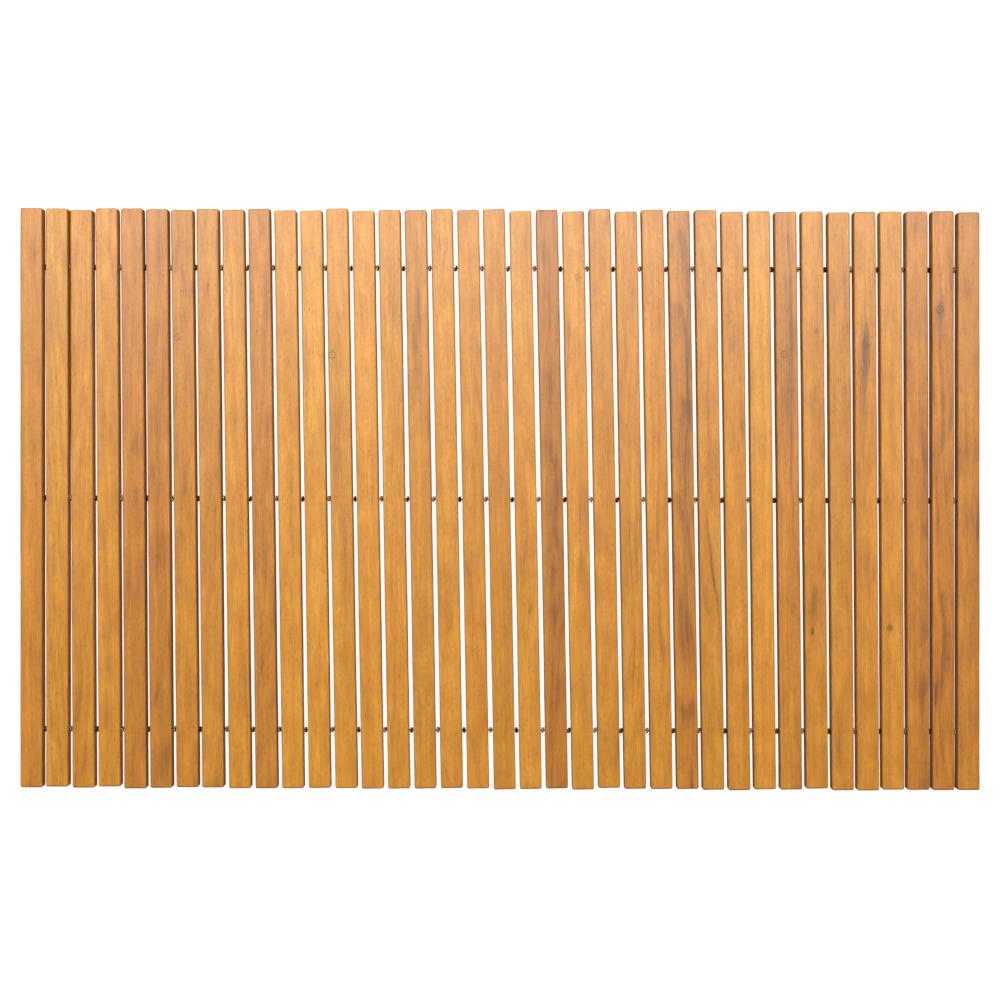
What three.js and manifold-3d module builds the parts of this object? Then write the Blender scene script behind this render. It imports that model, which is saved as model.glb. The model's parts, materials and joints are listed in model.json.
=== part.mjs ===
// Slatted wooden bath mat: loose slats strung side by side on three knotted cords.
// Millimetres. +X runs from slat to slat, +Y along each slat, +Z up from the floor.
// The knots between slats keep the drying gaps open and act as the hinges when the mat is rolled up.
import * as THREE from "three";
import { mergeVertices } from "three/addons/utils/BufferGeometryUtils.js";
import Module from "manifold-3d";

const wasm = await Module();
wasm.setup();
const { Manifold, Mesh: SolidMesh } = wasm;

// Slats
const SLAT_COUNT = 37;
const SLAT_LENGTH = 500;
const SLAT_WIDTH = 19;
const SLAT_THICKNESS = 12;
const EDGE_RADIUS = Math.min(1.5, SLAT_THICKNESS / 5);
const CORNER_RADIUS = EDGE_RADIUS + 0.8;

// Drying gaps, set by the knots: the first and last few were pulled tighter than the rest.
const GAP = 3.7;
const TIGHT_GAP = (GAP * 5) / 6;
const TIGHT_AT_START = 7;
const TIGHT_AT_END = 5;

// How the slats lie: upright at the two ends, leaning most in the middle, with rows that run off square.
const LEAN_MAX = THREE.MathUtils.degToRad(1.05);
const ROW_SKEW = 1.3;

// Cords, knots and the holes they run in
const CORD_DIAMETER = 1.2;
const KNOT_DIAMETER = 3 * CORD_DIAMETER;
const KNOT_CLEARANCE = 0.3;
const KNOT_SHOULDER = 0.24;
const HOLE_CLEARANCE = 0.55;
const HOLE_DIAMETER = CORD_DIAMETER + 2 * HOLE_CLEARANCE;
const ROW_INSET = SLAT_LENGTH / 10;
const ROW_HEIGHT = SLAT_THICKNESS / 2;

// End pockets: a counterbore in each end slat that hides the cord's last knot
const POCKET_CLEARANCE = 0.7;
const POCKET_DIAMETER = KNOT_DIAMETER + 2 * POCKET_CLEARANCE;
const POCKET_DEPTH = SLAT_WIDTH * 0.28;
const STOPPER_RECESS = 0.4;

// Derived layout
const GAP_COUNT = SLAT_COUNT - 1;
const isTight = (n) => n < TIGHT_AT_START || n >= GAP_COUNT - TIGHT_AT_END;
const GAPS = Array.from({ length: GAP_COUNT }, (_, n) => (isTight(n) ? TIGHT_GAP : GAP));
const totalOf = (widths) => widths.reduce((sum, width) => sum + width, 0);
const MAT_LENGTH = SLAT_COUNT * SLAT_WIDTH + totalOf(GAPS);
const END_SLAT_X = (MAT_LENGTH - SLAT_WIDTH) / 2;
const ROW_SPACING = SLAT_LENGTH / 2 - ROW_INSET;
const ROWS = [
  { name: "cord_front", y: -ROW_SPACING },
  { name: "cord_middle", y: 0 },
  { name: "cord_back", y: ROW_SPACING },
];
const SKEW_ANGLE = -Math.atan2(ROW_SKEW, END_SLAT_X);

// Facets of the round features
const EDGE_SEGMENTS = 3;
const HOLE_SIDES = 12;
const CORD_SIDES = 8;

// Finishes. SLAT_TONES gives each slat's timber from the -X end: a is amber, g golden and b brown.
const SLAT_TONES = "agggbbaagbgggggagaagbgaaabaagbaaaabbb";
const WOODS = {
  a: timber("wood_amber", 0xc98a45),
  g: timber("wood_golden", 0xd79c58),
  b: timber("wood_brown", 0xb97a3c),
};
const cordFibre = new THREE.MeshStandardMaterial({ color: 0x15130f, roughness: 0.85, metalness: 0 });
cordFibre.name = "cord_black";

// An oiled timber finish.
function timber(name, color) {
  const wood = new THREE.MeshStandardMaterial({ color, roughness: 0.55, metalness: 0 });
  wood.name = name;
  return wood;
}

// A closed geometry as a solid that can be joined and cut.
function toSolid(geometry) {
  const bare = geometry.index ? geometry.toNonIndexed() : geometry;
  const points = new THREE.BufferGeometry().setAttribute("position", bare.getAttribute("position"));
  const merged = mergeVertices(points, 1e-4);
  return new Manifold(
    new SolidMesh({
      numProp: 3,
      vertProperties: merged.getAttribute("position").array,
      triVerts: new Uint32Array(merged.index.array),
    }),
  );
}

// A solid back as a flat-shaded geometry.
function toGeometry(solid) {
  const { vertProperties, triVerts } = solid.getMesh();
  const indexed = new THREE.BufferGeometry();
  indexed.setAttribute("position", new THREE.BufferAttribute(new Float32Array(vertProperties), 3));
  indexed.setIndex(new THREE.BufferAttribute(new Uint32Array(triVerts), 1));
  const geometry = indexed.toNonIndexed();
  geometry.computeVertexNormals();
  return geometry;
}

// A rectangle with rounded corners, centred on the origin.
function roundedRectangle(width, length, radius) {
  const right = width / 2;
  const top = length / 2;
  const shape = new THREE.Shape();
  shape.absarc(right - radius, top - radius, radius, 0, Math.PI / 2);
  shape.absarc(radius - right, top - radius, radius, Math.PI / 2, Math.PI);
  shape.absarc(radius - right, radius - top, radius, Math.PI, 1.5 * Math.PI);
  shape.absarc(right - radius, radius - top, radius, 1.5 * Math.PI, 2 * Math.PI);
  shape.closePath();
  return shape;
}

// A slat before drilling: its plan outline extruded upwards with all edges eased.
function slatBlank() {
  const plan = roundedRectangle(
    SLAT_WIDTH - 2 * EDGE_RADIUS,
    SLAT_LENGTH - 2 * EDGE_RADIUS,
    CORNER_RADIUS - EDGE_RADIUS,
  );
  const blank = new THREE.ExtrudeGeometry(plan, {
    depth: SLAT_THICKNESS - 2 * EDGE_RADIUS,
    curveSegments: 1,
    bevelEnabled: true,
    bevelSize: EDGE_RADIUS,
    bevelThickness: EDGE_RADIUS,
    bevelSegments: EDGE_SEGMENTS,
  });
  blank.translate(0, 0, EDGE_RADIUS);
  return toSolid(blank);
}

// A drill or counterbore along X, centred at x on the row.
function drill(diameter, length, x, row) {
  const bit = new THREE.CylinderGeometry(diameter / 2, diameter / 2, length, HOLE_SIDES);
  bit.rotateZ(Math.PI / 2);
  bit.translate(x, row.y, ROW_HEIGHT);
  return toSolid(bit);
}

// One slat. pocketSide is -1 or 1 for an end slat, whose outer face has the pockets, and 0 for the rest.
function slatGeometry(pocketSide) {
  const bits = ROWS.map((row) => drill(HOLE_DIAMETER, 2 * SLAT_WIDTH, 0, row));
  if (pocketSide !== 0) {
    const outerFace = (pocketSide * SLAT_WIDTH) / 2;
    bits.push(...ROWS.map((row) => drill(POCKET_DIAMETER, 2 * POCKET_DEPTH, outerFace, row)));
  }
  return toGeometry(slatBlank().subtract(Manifold.union(bits)));
}

// Where slat number n (counted from 0 at the -X end) stands: its centre and its lean about +Z.
function slatPlace(n) {
  const x = n * SLAT_WIDTH + totalOf(GAPS.slice(0, n)) - END_SLAT_X;
  return {
    x,
    y: (-ROW_SKEW * x) / END_SLAT_X,
    lean: LEAN_MAX * Math.sin((Math.PI * n) / GAP_COUNT),
  };
}

// The X of a slat's side face where a row passes it. side is 1 for the +X face and -1 for the -X face.
function faceX(n, side, row) {
  const { x, lean } = slatPlace(n);
  return x + side * Math.cos(lean) * (SLAT_WIDTH / 2) - Math.sin(lean) * row.y;
}

// A knot's outline along the cord, as [distance along, radius] steps.
function knotOutline(from, to) {
  const shoulder = KNOT_SHOULDER * (to - from);
  return [
    [from, CORD_DIAMETER / 2],
    [from + shoulder, KNOT_DIAMETER / 2],
    [to - shoulder, KNOT_DIAMETER / 2],
    [to, CORD_DIAMETER / 2],
  ];
}

// One whole cord: a stopper knot in each end pocket and one knot in every gap between slats.
function cordGeometry(row) {
  const pocketFloor = POCKET_DEPTH - KNOT_CLEARANCE;
  const start = faceX(0, -1, row);
  const finish = faceX(SLAT_COUNT - 1, 1, row);
  const outline = [...knotOutline(start + STOPPER_RECESS, start + pocketFloor)];
  for (let n = 0; n < GAP_COUNT; n += 1) {
    const left = faceX(n, 1, row) + KNOT_CLEARANCE;
    const right = faceX(n + 1, -1, row) - KNOT_CLEARANCE;
    outline.push(...knotOutline(left, right));
  }
  outline.push(...knotOutline(finish - pocketFloor, finish - STOPPER_RECESS));
  const ends = [outline[0], outline[outline.length - 1]].map(([along]) => new THREE.Vector2(0, along));
  const side = outline.map(([along, radius]) => new THREE.Vector2(radius, along));
  const cord = new THREE.LatheGeometry([ends[0], ...side, ends[1]], CORD_SIDES);
  cord.rotateZ(-Math.PI / 2);
  return toGeometry(toSolid(cord));
}

const mat = new THREE.Group();
mat.name = "bath_mat";

const plainSlat = slatGeometry(0);
for (let n = 0; n < SLAT_COUNT; n += 1) {
  const pocketSide = n === 0 ? -1 : n === SLAT_COUNT - 1 ? 1 : 0;
  const geometry = pocketSide === 0 ? plainSlat : slatGeometry(pocketSide);
  const slat = new THREE.Mesh(geometry, WOODS[SLAT_TONES[n % SLAT_TONES.length]]);
  const { x, y, lean } = slatPlace(n);
  slat.name = `slat_${String(n + 1).padStart(2, "0")}`;
  slat.position.set(x, y, 0);
  slat.rotation.z = lean;
  mat.add(slat);
}

for (const row of ROWS) {
  const cord = new THREE.Mesh(cordGeometry(row), cordFibre);
  cord.name = row.name;
  cord.position.set(0, row.y, ROW_HEIGHT);
  cord.rotation.z = SKEW_ANGLE;
  mat.add(cord);
}

export default mat;
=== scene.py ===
"""Looks of the roll-up slatted bath mat: loose oiled hardwood slats strung on three knotted black cords.

Metres, in the mat's own frame: +X from slat to slat, +Y along the slats, +Z up from the floor.
"""

import json
import math
import random

import bmesh
import bpy
import numpy as np
from mathutils import Matrix, Vector


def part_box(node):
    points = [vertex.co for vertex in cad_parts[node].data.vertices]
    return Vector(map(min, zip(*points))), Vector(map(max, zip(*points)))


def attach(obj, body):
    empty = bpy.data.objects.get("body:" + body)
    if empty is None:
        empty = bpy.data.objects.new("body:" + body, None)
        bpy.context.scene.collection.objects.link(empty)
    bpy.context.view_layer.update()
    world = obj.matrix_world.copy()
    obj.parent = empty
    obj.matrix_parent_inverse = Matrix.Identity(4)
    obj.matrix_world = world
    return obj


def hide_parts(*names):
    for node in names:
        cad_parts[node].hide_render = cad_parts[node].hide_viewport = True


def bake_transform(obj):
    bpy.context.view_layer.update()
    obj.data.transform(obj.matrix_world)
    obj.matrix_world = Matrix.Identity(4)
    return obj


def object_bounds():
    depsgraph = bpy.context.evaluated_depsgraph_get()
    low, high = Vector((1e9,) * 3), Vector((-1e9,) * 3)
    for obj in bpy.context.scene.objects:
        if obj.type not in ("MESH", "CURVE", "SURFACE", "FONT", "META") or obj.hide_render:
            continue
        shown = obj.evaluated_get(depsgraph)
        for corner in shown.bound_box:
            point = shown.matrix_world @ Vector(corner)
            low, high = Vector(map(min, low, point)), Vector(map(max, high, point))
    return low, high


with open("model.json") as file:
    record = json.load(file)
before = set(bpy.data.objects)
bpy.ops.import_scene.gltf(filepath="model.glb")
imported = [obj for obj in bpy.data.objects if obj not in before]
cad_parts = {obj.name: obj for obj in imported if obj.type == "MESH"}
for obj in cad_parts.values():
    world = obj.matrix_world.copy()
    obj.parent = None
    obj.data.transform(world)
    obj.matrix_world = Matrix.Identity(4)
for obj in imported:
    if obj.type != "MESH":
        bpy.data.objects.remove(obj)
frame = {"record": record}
cad_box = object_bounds()

MM = 0.001

# ---------------------------------------------------------------- camera

# The camera hangs over the middle of the mat and takes in a square a little wider than the mat is long.
CAMERA_HEIGHT = 1.40
CAMERA_Y = -0.6 * MM
PICTURE_WIDTH = 0.8632
MAT_TOP = cad_box[1].z

camera_data = bpy.data.cameras.new("overhead_camera")
camera_data.sensor_width = 36
camera_data.lens = camera_data.sensor_width * CAMERA_HEIGHT / PICTURE_WIDTH
camera = bpy.data.objects.new("overhead_camera", camera_data)
camera.location = (0.0, CAMERA_Y, MAT_TOP + CAMERA_HEIGHT)
bpy.context.scene.collection.objects.link(camera)
bpy.context.scene.camera = camera
bpy.context.scene.view_settings.view_transform = "Standard"

# ---------------------------------------------------------------- sizes of the mat

SLAT_COUNT = 37
SLAT_LENGTH = 500 * MM
SLAT_WIDTH = 19 * MM
SLAT_THICKNESS = 12 * MM
EDGE_RADIUS = 1.5 * MM
LEAN_MAX = math.radians(1.05)

CORD_RADIUS = 0.6 * MM
KNOT_CORD_RADIUS = 0.84 * MM
HOLE_RADIUS = 1.15 * MM
POCKET_RADIUS = 2.5 * MM
POCKET_DEPTH = 5.32 * MM
MOUTH_EASE = 0.3 * MM
KNOT_CLEARANCE = 0.5 * MM
END_KNOT_ROOM = 3.9 * MM
END_KNOT_FULLNESS = 0.66
END_KNOT_RECESS = 0.4 * MM

CORD_NODES = ("cord_front", "cord_middle", "cord_back")
ROWS = [(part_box(name)[0].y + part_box(name)[1].y) / 2 for name in CORD_NODES]
ROW_HEIGHT = SLAT_THICKNESS / 2

# Where each piece of chance starts from: a knot's turn, a slat's timber, its unevenness and its place.
KNOT_SEED = 11
TIMBER_SEED = 500
BEND_SEED = 900
PLACE_SEED = 1300


def slat_node(number):
    """The name of a slat, counted from 1 at the -X end."""
    return f"slat_{number:02d}"


def slat_place(number):
    """A slat's centre on the floor and its lean about +Z."""
    low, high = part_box(slat_node(number))
    lean = LEAN_MAX * math.sin(math.pi * (number - 1) / (SLAT_COUNT - 1))
    return Vector(((low.x + high.x) / 2, (low.y + high.y) / 2, 0)), lean


def on_slat(number, x, row):
    """The point at a row's height on a slat, x to the right of its middle, in the mat's frame."""
    centre, lean = slat_place(number)
    return centre + Matrix.Rotation(lean, 3, "Z") @ Vector((x, row, 0)) + Vector((0, 0, ROW_HEIGHT))


def new_piece(name, mesh, finish):
    """A mesh as an object of the scene with its finish."""
    mesh.materials.clear()
    mesh.materials.append(finish)
    piece = bpy.data.objects.new(name, mesh)
    bpy.context.scene.collection.objects.link(piece)
    return piece


# ---------------------------------------------------------------- node writing


class Wire:
    """A value in a finish. Arithmetic on it adds the nodes that work it out."""

    def __init__(self, finish, socket):
        self.finish = finish
        self.socket = socket

    def of(self, output):
        """Another output of the node that this value comes from."""
        return Wire(self.finish, self.socket.node.outputs[output])

    def maths(self, operation, *others):
        """A Math node on this value and the others, in that order."""
        return self.finish.node("ShaderNodeMath", {"operation": operation}, dict(enumerate((self, *others))))

    def maths_after(self, operation, first):
        """A Math node on a first value and this one."""
        return self.finish.node("ShaderNodeMath", {"operation": operation}, {0: first, 1: self})

    def __add__(self, other):
        return self.maths("ADD", other)

    def __radd__(self, other):
        return self.maths_after("ADD", other)

    def __sub__(self, other):
        return self.maths("SUBTRACT", other)

    def __rsub__(self, other):
        return self.maths_after("SUBTRACT", other)

    def __mul__(self, other):
        return self.maths("MULTIPLY", other)

    def __rmul__(self, other):
        return self.maths_after("MULTIPLY", other)

    def __truediv__(self, other):
        return self.maths("DIVIDE", other)

    def __rtruediv__(self, other):
        return self.maths_after("DIVIDE", other)

    def __pow__(self, other):
        return self.maths("POWER", other)

    def __abs__(self):
        return self.maths("ABSOLUTE")


class Finish:
    """A material under construction: a Principled shader and the nodes that feed it."""

    def __init__(self, name, **fixed):
        self.material = bpy.data.materials.new(name)
        self.material.use_nodes = True
        self.tree = self.material.node_tree
        self.tree.nodes.clear()
        self.shader = self.tree.nodes.new("ShaderNodeBsdfPrincipled")
        output = self.tree.nodes.new("ShaderNodeOutputMaterial")
        self.tree.links.new(self.shader.outputs[0], output.inputs[0])
        for socket, value in fixed.items():
            self.shader.inputs[socket.replace("_", " ")].default_value = value

    def node(self, kind, settings=None, sockets=None, output=0):
        """Adds a node: its settings first, then the values or links of its sockets."""
        made = self.tree.nodes.new(kind)
        for key, value in (settings or {}).items():
            setattr(made, key, value)
        for key, value in (sockets or {}).items():
            self.join(value, made.inputs[key])
        return Wire(self, made.outputs[output])

    def join(self, value, socket):
        if isinstance(value, Wire):
            self.tree.links.new(value.socket, socket)
        else:
            socket.default_value = value

    def feed(self, socket, value):
        self.join(value, self.shader.inputs[socket])

    def attribute(self, name):
        """A vector kept on the piece's mesh."""
        return self.node("ShaderNodeAttribute", {"attribute_name": name}, output="Vector")

    def split(self, vector):
        """The three parts of a vector."""
        parts = self.node("ShaderNodeSeparateXYZ", None, {0: vector})
        return parts, parts.of(1), parts.of(2)

    def vector(self, x, y, z):
        return self.node("ShaderNodeCombineXYZ", None, {0: x, 1: y, 2: z})

    def vector_maths(self, operation, *values):
        return self.node("ShaderNodeVectorMath", {"operation": operation}, dict(enumerate(values)))

    def scaled(self, vector, factor):
        """A vector with all its parts multiplied by one number."""
        return self.node("ShaderNodeVectorMath", {"operation": "SCALE"}, {0: vector, "Scale": factor})

    def noise(self, vector, detail=2.0, roughness=0.5):
        """Cloudy noise, about 1 unit from lump to lump."""
        sockets = {"Vector": vector, "Scale": 1.0, "Detail": detail, "Roughness": roughness}
        return self.node("ShaderNodeTexNoise", None, sockets, "Fac")

    def ease(self, value, start, end, low=0.0, high=1.0):
        """A smooth step from low to high as value goes from start to end."""
        settings = {"interpolation_type": "SMOOTHSTEP"}
        return self.node("ShaderNodeMapRange", settings, {0: value, 1: start, 2: end, 3: low, 4: high})

    def mix(self, factor, first, second):
        """A blend of two colours."""
        settings = {"data_type": "RGBA", "clamp_factor": True}
        return self.node("ShaderNodeMix", settings, {0: factor, 6: first, 7: second}, 2)

    def bump(self, height, distance):
        """A normal for relief of this height, 0 to 1, over a real distance in metres."""
        return self.node("ShaderNodeBump", None, {"Strength": 1.0, "Distance": distance, "Height": height})


def colour(red, green, blue):
    """A solid colour."""
    return (red, green, blue, 1.0)


WHITE = colour(1, 1, 1)


# ---------------------------------------------------------------- finishes


def black_braid(name):
    """Black braided cord with a pale tracer thread along one side."""
    strands = 4
    pitch = 5.2
    finish = Finish(name, Specular_IOR_Level=0.35)
    across, up, along = finish.split(finish.attribute("cord_lay"))
    turn = up.maths("ARCTAN2", across)
    left_hand = (turn * strands + along * pitch).maths("SINE")
    right_hand = (turn * strands - along * pitch).maths("SINE")
    weave = left_hand.maths("MAXIMUM", right_hand) * 0.5 + 0.5
    zigzag = (along * 0.85).maths("PINGPONG", 1.0) - 0.5
    tracer = finish.ease(abs(turn - 1.2 - zigzag * 2.4), 0.58, 0.38)
    fuzz = finish.noise(finish.vector(across * 6, up * 6, along * 9), 2)
    # Each yarn is painted a little lighter on its crown than in the grooves between the yarns: painted shade
    # in the grooves.
    thread = finish.mix(weave, colour(0.002, 0.002, 0.002), colour(0.017, 0.014, 0.012))
    thread = finish.mix(tracer * finish.ease(weave, 0.15, 0.45), thread, colour(0.92, 0.90, 0.87))
    finish.feed("Base Color", thread)
    finish.feed("Roughness", 0.62 + fuzz * 0.3)
    finish.feed("Normal", finish.bump(weave + fuzz * 0.2, 0.10 * MM))
    return finish.material


def hardwood(name, sapwood, middle, heartwood):
    """Oiled acacia with a satin surface, from the palest timber to the darkest."""
    smoky = colour(0.130, 0.056, 0.020)
    soaked = colour(0.20, 0.075, 0.018)
    finish = Finish(name, IOR=1.65)
    place = finish.node("ShaderNodeTexCoord", output="Object")
    x, y, z = finish.split(finish.scaled(place, 1 / MM))
    z = z - ROW_HEIGHT / MM
    seed_x, seed_y, seed_z = finish.split(finish.attribute("slat_seed"))
    pith_x, pith_z, climb = finish.split(finish.attribute("slat_pith"))
    figure, streaky, boundary = finish.split(finish.attribute("slat_figure"))

    # Knots push the grain aside, most at their own edge.
    grain_x = x
    rings = []
    for which in ("knot_one", "knot_two"):
        knot_x, knot_y, knot_radius = finish.split(finish.attribute(which))
        beside = x - knot_x
        ahead = y - knot_y
        square = knot_radius * knot_radius
        flow = square / (beside * beside + ahead * ahead * 0.12 + square + 0.01)
        grain_x = grain_x - beside * flow * 0.85
        rings.append((beside, ahead, knot_radius, flow))

    # The slat's own coordinates in the log: stretched along the grain, wandering a little.
    slow = finish.noise(finish.vector(seed_x, y * 0.011 + seed_y, seed_z), 2)
    grain_x = grain_x + (slow - 0.5) * 7 * streaky
    log_x = grain_x + seed_x * 31
    log_y = y + seed_y * 613
    log_z = z + seed_z * 37

    # Growth rings around the pith, which lies below and to one side of the slat.
    sideways = grain_x - pith_x
    depth = z - pith_z + y * climb
    radius = (sideways * sideways + depth * depth) ** 0.5
    sway = finish.noise(finish.vector(log_x * 0.05, log_y * 0.008, log_z * 0.05), 2)
    year = (radius * 0.34 + sway * 2.6).maths("FRACT")
    latewood = finish.ease(year, 0.25, 0.86) * finish.ease(year, 1.0, 0.88)

    # Fibres, pores and broad streaks, all drawn out along the grain.
    broad = finish.noise(finish.vector(log_x * 0.16, log_y * 0.0045, log_z * 0.16), 2.5)
    streaks = finish.noise(finish.vector(log_x * 0.62, log_y * 0.010, log_z * 0.62), 3, 0.6)
    fibres = finish.noise(finish.vector(log_x * 1.7, log_y * 0.050, log_z * 1.7), 3, 0.65)
    pores = finish.noise(finish.vector(log_x * 2.6, log_y * 0.26, log_z * 2.6), 1.5)
    pores = finish.ease(pores, 0.56, 0.72)
    cloud = finish.noise(finish.vector(log_x * 0.10, log_y * 0.035, log_z * 0.10), 3)

    # Heartwood on one side of a slanting boundary.
    edge = grain_x - boundary + y * climb * 0.30 + (broad - 0.5) * 22
    heart = finish.ease(edge, -4.5, 4.5) * figure
    depth_of_tone = heart * 0.55 + (broad - 0.5) * 0.85 + (streaks - 0.5) * 1.05 * streaky
    depth_of_tone = depth_of_tone + latewood * 0.24 * streaky + (cloud - 0.5) * 1.35 + 0.30
    timber = finish.mix(finish.ease(depth_of_tone, 0.0, 0.55), sapwood, middle)
    timber = finish.mix(finish.ease(depth_of_tone, 0.50, 1.15), timber, heartwood)

    shade = 1.04 - (fibres - 0.5) * 0.74 - pores * 0.38
    mark = 0.0

    # Knots: a dark rim, a speck at the heart and a smoky flare along the grain.
    ragged = finish.noise(finish.vector(log_x * 0.55, log_y * 0.55, log_z * 0.55), 2)
    for beside, ahead, knot_radius, flow in rings:
        span = (beside * beside + ahead * ahead) ** 0.5 / (knot_radius + 0.001)
        span = span + (ragged - 0.5) * 1.1
        present = finish.ease(knot_radius, 0.2, 0.6)
        rim = finish.ease(abs(span - 1.0), 0.26, 0.06)
        heart_speck = finish.ease(span, 0.40, 0.10)
        flare = finish.ease(flow, 0.25, 0.85) * (0.30 + streaks * 0.8)
        rim = rim * finish.ease(ragged, 0.36, 0.56, 0.35, 1.0)
        mark = mark + (rim * 0.72 + heart_speck * 0.70 + flare * 0.24) * present

    # Smoky marks, drawn out along the grain.
    for which in ("mark_one", "mark_two", "mark_three"):
        mark_x, mark_y, strength = finish.split(finish.attribute(which))
        half_width, half_length, slope = finish.split(finish.attribute(which + "_size"))
        ahead = (y - mark_y) / half_length
        beside = (grain_x - mark_x - slope * (y - mark_y)) / half_width
        fade = 1.0 / (1.0 + (beside * beside + ahead * ahead) ** 1.7)
        mark = mark + fade * strength * finish.ease(streaks * 0.55 + fibres * 0.45, 0.36, 0.62, 0.35, 1.15)

    timber = finish.mix(mark, timber, smoky)
    timber = finish.vector_maths("MULTIPLY", timber, finish.scaled(finish.attribute("slat_tint"), shade))

    # End grain drinks more oil, and the eased edges are a little darker.
    end_grain, darker_edge, _ = finish.split(finish.attribute("slat_edges"))
    timber = finish.mix(end_grain * 0.55 + darker_edge * 0.12, timber, soaked)
    finish.feed("Base Color", timber)
    finish.feed("Roughness", 0.37 + (fibres - 0.5) * 0.12 + pores * 0.10 + end_grain * 0.2)
    relief = fibres * 0.35 - pores * 0.65 + streaks * 0.25 - latewood * 0.05
    finish.feed("Normal", finish.bump(relief, 0.05 * MM))
    return finish.material


CORD_FINISH = black_braid("black_braided_cord")
WOOD_FINISHES = {
    "wood_amber": hardwood(
        "amber_acacia",
        colour(0.652, 0.268, 0.026),
        colour(0.556, 0.212, 0.018),
        colour(0.347, 0.122, 0.016),
    ),
    "wood_golden": hardwood(
        "golden_acacia",
        colour(0.694, 0.299, 0.031),
        colour(0.592, 0.234, 0.020),
        colour(0.398, 0.148, 0.017),
    ),
    "wood_brown": hardwood(
        "brown_acacia",
        colour(0.602, 0.234, 0.025),
        colour(0.505, 0.182, 0.018),
        colour(0.306, 0.105, 0.016),
    ),
}

# ---------------------------------------------------------------- cords and knots


def tie_overhand(points=120, span=11.0):
    """An overhand knot's centreline, in cord diameters: a loosely tied rope shortened until it is tight."""
    turn = np.linspace(math.pi + 0.2, 3 * math.pi - 0.2, 90)
    lobes = np.stack(
        [
            1.5 * (np.sin(turn) + 2 * np.sin(2 * turn)),
            1.5 * (np.cos(turn) - 2 * np.cos(2 * turn)),
            -0.9 * np.sin(3 * turn),
        ],
        axis=1,
    )
    lowest = lobes[:, 1].min()
    lead = np.array([[span / 2, 0, 0], [4.6, -1.5, 0], [3, -3.6, 0], [0.9, lowest - 0.6, 0]])
    loose = np.concatenate([lead, lobes, lead[::-1] * [-1, 1, 1]])
    steps = np.linalg.norm(np.diff(loose, axis=0), axis=1)
    travelled = np.concatenate([[0], steps.cumsum()])
    even = np.linspace(0, travelled[-1], points)
    rope = np.stack([np.interp(even, travelled, loose[:, axis]) for axis in range(3)], axis=1)
    rope[:, 1] -= rope[0, 1]
    link = travelled[-1] / (points - 1)
    held = rope[[0, -1], 0].copy()
    first, second = np.triu_indices(points, 2)

    # Each round shortens the rope a little, pulls its links to length, smooths it and parts turns that touch.
    for _ in range(900):
        link *= 0.996
        apart = (second - first) * link > 1.75
        a, b = first[apart], second[apart]
        for _ in range(25):
            reach = np.diff(rope, axis=0)
            length = np.linalg.norm(reach, axis=1, keepdims=True)
            pull = reach * (0.5 * (length - link) / length)
            rope[:-1] += pull
            rope[1:] -= pull
            rope[1:-1] += 0.25 * ((rope[:-2] + rope[2:]) / 2 - rope[1:-1])
            between = rope[b] - rope[a]
            distance = np.linalg.norm(between, axis=1)
            touching = distance < 1
            push = between[touching] * (0.35 * (1 - distance[touching]) / distance[touching])[:, None]
            np.add.at(rope, b[touching], push)
            np.add.at(rope, a[touching], -push)
            rope[[0, -1], 0] = held
        if np.linalg.norm(rope[b] - rope[a], axis=1).min() < 0.82:
            break
    return rope


def centred_knot(rope):
    """The knot without its tails, moved so that both tails leave along the X axis."""
    inside = np.flatnonzero(np.abs(rope[:, 0]) < 1.75)
    knot = rope[inside[0] : inside[-1] + 1].copy()
    share = np.linspace(0, 1, len(knot))[:, None]
    knot[:, 1:] -= knot[0, 1:] * (1 - share) + knot[-1, 1:] * share
    return knot[::-1] if knot[0, 0] > 0 else knot


KNOT = centred_knot(tie_overhand())


def rope_mesh(lines, sides=8):
    """Round cord along each line of points, fuller where it is knotted, closed at both ends.
    cord_lay is kept on it: the way round the cord as two numbers, and millimetres along it."""
    made = bmesh.new()
    lay = made.verts.layers.float_vector.new("cord_lay")
    thin_at_ends = 4
    for line in lines:
        line = [Vector(point) for point in line]
        ways = [
            (line[min(n + 1, len(line) - 1)] - line[max(n - 1, 0)]).normalized() for n in range(len(line))
        ]
        knotted = range(thin_at_ends, len(line) - thin_at_ends)
        radii = [KNOT_CORD_RADIUS if n in knotted else CORD_RADIUS for n in range(len(line))]
        side = Vector((0, 0, 1))
        travelled = 0.0
        rings = []
        for n, (point, way) in enumerate(zip(line, ways)):
            if n:
                side = (ways[n - 1].rotation_difference(way)) @ side
                travelled += (point - line[n - 1]).length / MM
            other = way.cross(side)
            ring = []
            for k in range(sides):
                angle = 2 * math.pi * k / sides
                vert = made.verts.new(point + radii[n] * (math.cos(angle) * side + math.sin(angle) * other))
                vert[lay] = Vector((math.cos(angle), math.sin(angle), travelled))
                ring.append(vert)
            rings.append(ring)
        for ring, following in zip(rings, rings[1:]):
            for k in range(sides):
                beside = (k + 1) % sides
                face = made.faces.new((ring[k], ring[beside], following[beside], following[k]))
                face.smooth = True
        made.faces.new(rings[0][::-1])
        made.faces.new(rings[-1])
    mesh = bpy.data.meshes.new("cord")
    made.to_mesh(mesh)
    made.free()
    return mesh


def knot_between(start, end, room, turn, fullness=1.0):
    """A knot's centreline on the way from start to end, squeezed into the room there and turned about it."""
    middle = (start + end) / 2
    along = (end - start).normalized()
    upright = Vector((0, 0, 1))
    basis = Matrix((along, upright.cross(along), upright)).transposed()
    size = 2 * KNOT_CORD_RADIUS * fullness
    width = (KNOT[:, 0].max() - KNOT[:, 0].min()) * size
    squeeze = min(1.0, (room - 2 * KNOT_CORD_RADIUS) / width)
    spin = Matrix.Rotation(turn, 3, "X")
    points = []
    for x, y, z in KNOT * size:
        points.append(middle + basis @ (spin @ Vector((x * squeeze, y, z))))
    return points


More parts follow.
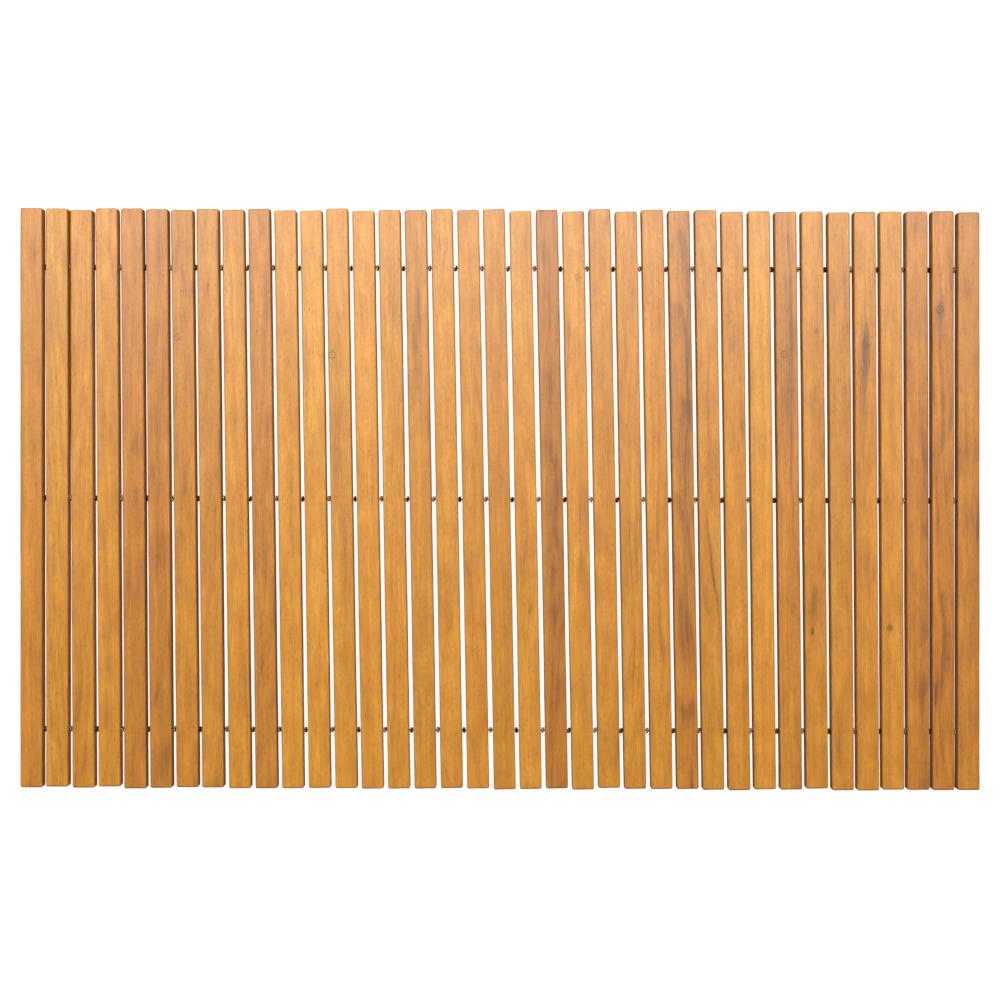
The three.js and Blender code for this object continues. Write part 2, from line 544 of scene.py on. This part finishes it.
def across_gap(number):
    """Where the gap after a slat starts and ends, on a line square to the sides of its two slats."""
    start = on_slat(number, SLAT_WIDTH / 2, 0)
    end = on_slat(number + 1, -SLAT_WIDTH / 2, 0)
    square = start - on_slat(number, 0, 0) + on_slat(number + 1, 0, 0) - end
    return start, start + (end - start).project(square)


random.seed(KNOT_SEED)
for number in range(1, SLAT_COUNT):
    lines = []
    for row in ROWS:
        here = on_slat(number, 0, row)
        there = on_slat(number + 1, 0, row)
        left = on_slat(number, SLAT_WIDTH / 2, row)
        right = on_slat(number + 1, -SLAT_WIDTH / 2, row)
        turn = math.pi * (number % 2) + random.uniform(-0.5, 0.5)
        knot = knot_between(left, right, (right - left).length - KNOT_CLEARANCE, turn)
        lines.append([here, (here + left) / 2, left, *knot, right, (there + right) / 2, there])
    piece = new_piece(f"cord_knots_{number:02d}", rope_mesh(lines), CORD_FINISH)
    start, end = across_gap(number)
    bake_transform(piece)
    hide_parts("cord_front", "cord_middle", "cord_back")

for name, number, side in (("end_knots_left", 1, -1), ("end_knots_right", SLAT_COUNT, 1)):
    lines = []
    for row in ROWS:
        inner = on_slat(number, side * (SLAT_WIDTH / 2 - POCKET_DEPTH), row)
        outer = on_slat(number, side * (SLAT_WIDTH / 2 - END_KNOT_RECESS), row)
        knot = knot_between(inner, outer, END_KNOT_ROOM, random.uniform(0, 6), END_KNOT_FULLNESS)
        lines.append([on_slat(number, 0, row), inner, *knot, outer])
    piece = new_piece(name, rope_mesh(lines), CORD_FINISH)
    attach(piece, slat_node(number))
    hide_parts("cord_front", "cord_middle", "cord_back")

# ---------------------------------------------------------------- slats


def turned(made, outline, row, sides=20):
    """A closed body turned about a row's line, from [x, radius] steps."""
    rings = []
    for x, radius in outline:
        ring = []
        for k in range(sides):
            angle = 2 * math.pi * k / sides
            y = row + radius * math.cos(angle)
            z = ROW_HEIGHT + radius * math.sin(angle)
            ring.append(made.verts.new((x, y, z)))
        rings.append(ring)
    for ring, following in zip(rings, rings[1:]):
        for k in range(sides):
            beside = (k + 1) % sides
            made.faces.new((ring[k], following[k], following[beside], ring[beside]))
    made.faces.new(rings[0])
    made.faces.new(rings[-1][::-1])


def eased_mouth(radius):
    """The last stretch of a hole on a slat's +X face, where it flares a little."""
    face = SLAT_WIDTH / 2
    return [(face - MOUTH_EASE, radius), (face + MOUTH_EASE, radius + 2 * MOUTH_EASE)]


def mirrored(outline):
    """An outline turned end for end."""
    return [(-x, radius) for x, radius in outline[::-1]]


def drill_bits(pocket_side):
    """What is drilled from a slat: an eased hole in each row, with a pocket on an end slat's outer side."""
    face = SLAT_WIDTH / 2
    outline = mirrored(eased_mouth(HOLE_RADIUS))
    if pocket_side:
        outline += [(face - POCKET_DEPTH, HOLE_RADIUS), (face - POCKET_DEPTH, POCKET_RADIUS)]
        outline += eased_mouth(POCKET_RADIUS)
    else:
        outline += eased_mouth(HOLE_RADIUS)
    if pocket_side < 0:
        outline = mirrored(outline)
    made = bmesh.new()
    for row in ROWS:
        turned(made, outline, row)
    bmesh.ops.recalc_face_normals(made, faces=made.faces)
    mesh = bpy.data.meshes.new("drill_bits")
    made.to_mesh(mesh)
    made.free()
    return mesh


def slat_blank():
    """A bar with every edge rounded over, cut into short lengths so that it can bend."""
    made = bmesh.new()
    bmesh.ops.create_cube(made, size=1)
    bmesh.ops.scale(made, vec=(SLAT_WIDTH, SLAT_LENGTH, SLAT_THICKNESS), verts=made.verts)
    bmesh.ops.translate(made, vec=(0, 0, SLAT_THICKNESS / 2), verts=made.verts)
    lengths = 20
    clear_of_rows = 6 * MM
    for n in range(1, lengths):
        parts = made.verts[:] + made.edges[:] + made.faces[:]
        cut = SLAT_LENGTH * (n / lengths - 0.5) + clear_of_rows
        bmesh.ops.bisect_plane(made, geom=parts, plane_co=(0, cut, 0), plane_no=(0, 1, 0))
    sharp = [edge for edge in made.edges if edge.calc_face_angle() > 1]
    bmesh.ops.bevel(made, geom=sharp, offset=EDGE_RADIUS, segments=5, profile=0.5, affect="EDGES")
    mesh = bpy.data.meshes.new("slat_blank")
    made.to_mesh(mesh)
    made.free()
    return mesh


def drilled_slat(pocket_side):
    """The mesh of a slat with its holes."""
    blank = bpy.data.objects.new("slat_blank", slat_blank())
    bits = bpy.data.objects.new("drill_bits", drill_bits(pocket_side))
    for part in (blank, bits):
        bpy.context.scene.collection.objects.link(part)
    cut = blank.modifiers.new("drill", "BOOLEAN")
    cut.operation = "DIFFERENCE"
    cut.solver = "EXACT"
    cut.object = bits
    bpy.context.view_layer.update()
    mesh = bpy.data.meshes.new_from_object(blank.evaluated_get(bpy.context.evaluated_depsgraph_get()))
    for part in (blank, bits):
        bpy.data.objects.remove(part)
    return mesh


def inner_point(point):
    """The nearest point of the bar's core, from which its rounded edges swing."""
    return Vector(
        (
            min(max(point.x, EDGE_RADIUS - SLAT_WIDTH / 2), SLAT_WIDTH / 2 - EDGE_RADIUS),
            min(max(point.y, EDGE_RADIUS - SLAT_LENGTH / 2), SLAT_LENGTH / 2 - EDGE_RADIUS),
            min(max(point.z, EDGE_RADIUS), SLAT_THICKNESS - EDGE_RADIUS),
        )
    )


def true_normals(mesh):
    """Corner normals of the rounded bar and its holes, so that flat faces stay flat up to the rounding."""
    normals = [Vector((0, 0, 1))] * len(mesh.loops)
    for face in mesh.polygons:
        outward = face.center - inner_point(face.center)
        drilled = outward.length < 0.9 * EDGE_RADIUS
        for loop in face.loop_indices:
            point = mesh.vertices[mesh.loops[loop].vertex_index].co
            if drilled:
                normals[loop] = face.normal.copy()
            else:
                normals[loop] = (point - inner_point(point)).normalized()
    mesh.polygons.foreach_set("use_smooth", [True] * len(mesh.polygons))
    mesh.normals_split_custom_set(normals)


def keep_on_mesh(mesh, name, value):
    """Keeps one vector on every point of a mesh, for its finish to read."""
    kept = mesh.attributes.new(name, "FLOAT_VECTOR", "POINT")
    kept.data.foreach_set("vector", np.tile(np.array(value, np.float32), len(mesh.vertices)))


def keep_edges(mesh):
    """Marks end grain and eased edges on the mesh."""
    marks = np.zeros((len(mesh.vertices), 3), np.float32)
    for vert in mesh.vertices:
        outward = vert.co - inner_point(vert.co)
        outward = outward.normalized() if outward.length > 0 else Vector((0, 0, 1))
        marks[vert.index] = (abs(outward.y) ** 2, 1 - max(abs(part) for part in outward) ** 4, 0)
    kept = mesh.attributes.new("slat_edges", "FLOAT_VECTOR", "POINT")
    kept.data.foreach_set("vector", marks.ravel())


# What stands out on single slats, in millimetres from the slat's middle: knots as (x, y, radius),
# marks as (x, y, strength, half width, half length, slope).
KNOTS = {
    7: [(-5.0, 139, 2.6)],
    13: [(-6.0, 124, 3.0)],
    22: [(3.0, 192, 2.4)],
    30: [(-2.5, 126, 2.6)],
    31: [(3.0, 146, 2.0)],
    33: [(0.0, 134, 2.2)],
    34: [(-2.8, -110, 1.9)],
    36: [(-3.0, 165, 3.2), (4.0, -136, 1.7)],
}
MARKS = {
    1: [(-8.0, 60, 0.25, 2.0, 90, 0)],
    6: [(2.0, -228, 0.45, 3.5, 14, 0.08)],
    7: [(4.0, 120, 0.22, 3.5, 32, 0)],
    8: [(0.0, 184, 0.5, 1.2, 1.6, 0)],
    13: [(-3.0, 60, 0.35, 3.0, 70, 0.02), (2.0, -30, 0.30, 2.2, 80, -0.01)],
    16: [(1.0, 166, 0.55, 2.2, 22, 0.06), (-1.0, 119, 0.50, 2.4, 26, -0.05)],
    20: [(2.0, -96, 0.4, 1.2, 4, 0), (-3.0, -246, 0.4, 1.5, 4, 0)],
    21: [(0.0, 20, 0.22, 6.0, 160, 0)],
    24: [(0.0, -48, 0.40, 4.5, 20, 0.10)],
    26: [(5.5, 130, 0.75, 1.3, 85, 0.020), (2.5, 20, 0.45, 1.8, 80, 0.015), (0.0, -100, 0.30, 3.0, 60, 0)],
    27: [(1.0, -50, 0.75, 1.0, 40, -0.12), (0.5, 60, 0.40, 1.2, 50, -0.03)],
    30: [(0.0, 108, 0.55, 4.5, 44, 0.05), (1.0, 165, 0.40, 4.0, 30, 0)],
    31: [(-1.5, -88, 0.60, 3.0, 14, 0.03), (-3.2, -113, 3.0, 0.7, 2.4, 0.1)],
    32: [(-4.0, -208, 0.50, 2.6, 14, 0)],
    33: [(-1.5, 130, 0.75, 2.6, 26, 0.04), (-3.0, 60, 0.25, 3.0, 60, 0.02)],
    34: [(-2.8, -110, 0.60, 1.6, 2.6, 0)],
    36: [(7.0, 70, 0.65, 1.8, 14, 0), (-2.5, 160, 0.45, 3.5, 14, 0), (-6.0, -167, 0.90, 1.5, 15, 0.08)],
    37: [(8.0, -22, 0.95, 1.8, 18, 0.03), (4.0, -92, 0.30, 3.0, 22, 0)],
}
TINTS = {
    8: (0.98, 1.0, 1.12),
    12: (1.05, 1.06, 1.05),
    14: (1.06, 1.05, 1.03),
    21: (0.97, 0.98, 0.94),
    29: (1.04, 1.02, 0.96),
    30: (1.06, 1.06, 1.06),
    36: (1.05, 1.02, 1.02),
}
# Slats with a strong figure: how dark the heartwood is, how streaky the grain, and where the boundary lies.
FIGURES = {
    8: (0.7, 0.7, 6),
    21: (0.5, 0.8, -9),
    26: (0.5, 1.3, 0),
    30: (0.5, 1.0, 3),
    35: (0.6, 0.8, 1),
    36: (0.4, 1.2, -3),
}
NO_MARK = (0, 0, 0, 1, 1, 0)
SLOTS = {part["node"]: part["material_slot"] for part in frame["record"]["subparts"]}


def keep_timber(mesh, number):
    """Keeps on a slat's mesh how its own piece of timber differs from the others."""
    pick = random.Random(TIMBER_SEED + number)
    keep_on_mesh(mesh, "slat_seed", [pick.uniform(-8, 8) for _ in range(3)])
    pith = (pick.uniform(-30, 30), pick.uniform(-70, -16), pick.uniform(-0.05, 0.05))
    keep_on_mesh(mesh, "slat_pith", pith)
    figure = (pick.choice((0.0, 0.1, 0.3)), pick.uniform(0.5, 1.2), pick.uniform(-8, 8))
    keep_on_mesh(mesh, "slat_figure", FIGURES.get(number, figure))
    tint = TINTS.get(number, [pick.uniform(0.985, 1.03)] * 3)
    keep_on_mesh(mesh, "slat_tint", tint)
    knots = (KNOTS.get(number, []) + [(0, 0, 0)] * 2)[:2]
    marks = (MARKS.get(number, []) + [NO_MARK] * 3)[:3]
    for name, knot in zip(("knot_one", "knot_two"), knots):
        keep_on_mesh(mesh, name, knot)
    for name, mark in zip(("mark_one", "mark_two", "mark_three"), marks):
        keep_on_mesh(mesh, name, mark[:3])
        keep_on_mesh(mesh, name + "_size", mark[3:])


def looseness(number):
    """How far a slat may stray: the last few roll up against each other most tightly and lie truest."""
    last_loose = 29
    return 1.0 if number <= last_loose else 0.25


def bend_slat(mesh, number):
    """Workshop unevenness: a slight bow, edges that wander a little and ends not sawn quite to length."""
    pick = random.Random(BEND_SEED + number)
    bow = pick.uniform(-0.2, 0.2) * MM * looseness(number)
    phases = [pick.uniform(0, 6.3) for _ in range(4)]
    trim = [pick.uniform(-0.9, 0.9) * MM for _ in range(2)]
    for vert in mesh.vertices:
        along = vert.co.y / SLAT_LENGTH
        swell = 0.05 * MM * (math.sin(along * 17 + phases[0]) + math.sin(along * 41 + phases[1]))
        near_end = min(max((abs(along) - 0.44) / 0.04, 0), 1)
        vert.co.y += trim[along > 0] * near_end
        vert.co.x += bow * (1 - 4 * along * along) + swell * vert.co.x / (SLAT_WIDTH / 2)
        vert.co.z += 0.04 * MM * math.sin(along * 23 + phases[2]) * vert.co.z / SLAT_THICKNESS


plain_slat = drilled_slat(0)
left_end_slat = drilled_slat(-1)
right_end_slat = drilled_slat(1)
for mesh in (plain_slat, left_end_slat, right_end_slat):
    keep_edges(mesh)

for number in range(1, SLAT_COUNT + 1):
    pattern = {1: left_end_slat, SLAT_COUNT: right_end_slat}.get(number, plain_slat)
    mesh = pattern.copy()
    true_normals(mesh)
    keep_timber(mesh, number)
    bend_slat(mesh, number)
    slot = SLOTS[slat_node(number)]
    piece = new_piece(f"acacia_slat_{number:02d}", mesh, WOOD_FINISHES[slot])
    centre, lean = slat_place(number)
    pick = random.Random(PLACE_SEED + number)
    piece.location = centre + Vector((0, pick.uniform(-0.35, 0.35) * MM, 0))
    piece.rotation_euler.z = lean + math.radians(pick.uniform(-0.06, 0.06)) * looseness(number)
    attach(piece, slat_node(number))
    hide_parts(slat_node(number))

# ---------------------------------------------------------------- floor and light


# The floor lies a hair below the mat so that the two never share a plane.
FLOOR_DROP = 0.2 * MM


def lit_white(name, strength):
    """White that is lit from behind like a light table."""
    finish = Finish(name, Base_Color=colour(0.5, 0.5, 0.5), Roughness=0.9)
    finish.shader.inputs["Emission Color"].default_value = WHITE
    finish.shader.inputs["Emission Strength"].default_value = strength
    return finish.material


def studio_piece(name, corners, sides, finish):
    """A piece of the studio, which throws no light at the mat."""
    mesh = bpy.data.meshes.new(name)
    mesh.from_pydata(corners, [], sides)
    piece = new_piece(name, mesh, finish)
    piece.location.z = -FLOOR_DROP
    piece.visible_diffuse = False
    piece.visible_glossy = False
    return piece


def studio_room(half=6, height=4.5):
    """A plain white floor with plain white walls far round it, which hold back no light either."""
    square = [(-half, -half), (half, -half), (half, half), (-half, half)]
    low = [(x, y, 0) for x, y in square]
    high = [(x, y, height) for x, y in square]
    studio_piece("floor", low, [(0, 1, 2, 3)], lit_white("white_floor", 0.93))
    sides = [(n, (n + 1) % 4, (n + 1) % 4 + 4, n + 4) for n in range(4)]
    walls = studio_piece("walls", low + high, sides, lit_white("white_walls", 1.0))
    walls.visible_shadow = False


def softbox(name, place, target, width, height, radiance):
    """A square of soft light facing a point."""
    data = bpy.data.lights.new(name, "AREA")
    data.shape = "RECTANGLE"
    data.size = width
    data.size_y = height
    data.energy = radiance * math.pi * width * height
    light = bpy.data.objects.new(name, data)
    light.location = place
    light.rotation_euler = (Vector(target) - Vector(place)).to_track_quat("-Z", "Y").to_euler()
    bpy.context.scene.collection.objects.link(light)


studio_room()
softbox("key_softbox", (0, 1.28, 2.2), (0, 0, 0), 3.2, 1.5, 6.3)
softbox("left_softbox", (-2.4, -0.4, 1.6), (0, 0, 0), 1.6, 1.6, 0.6)
softbox("right_softbox", (2.4, -0.4, 1.6), (0, 0, 0), 1.6, 1.6, 0.6)
world = bpy.data.worlds.new("studio")
world.use_nodes = True
world.node_tree.nodes["Background"].inputs["Color"].default_value = WHITE
world.node_tree.nodes["Background"].inputs["Strength"].default_value = 0.10
bpy.context.scene.world = world
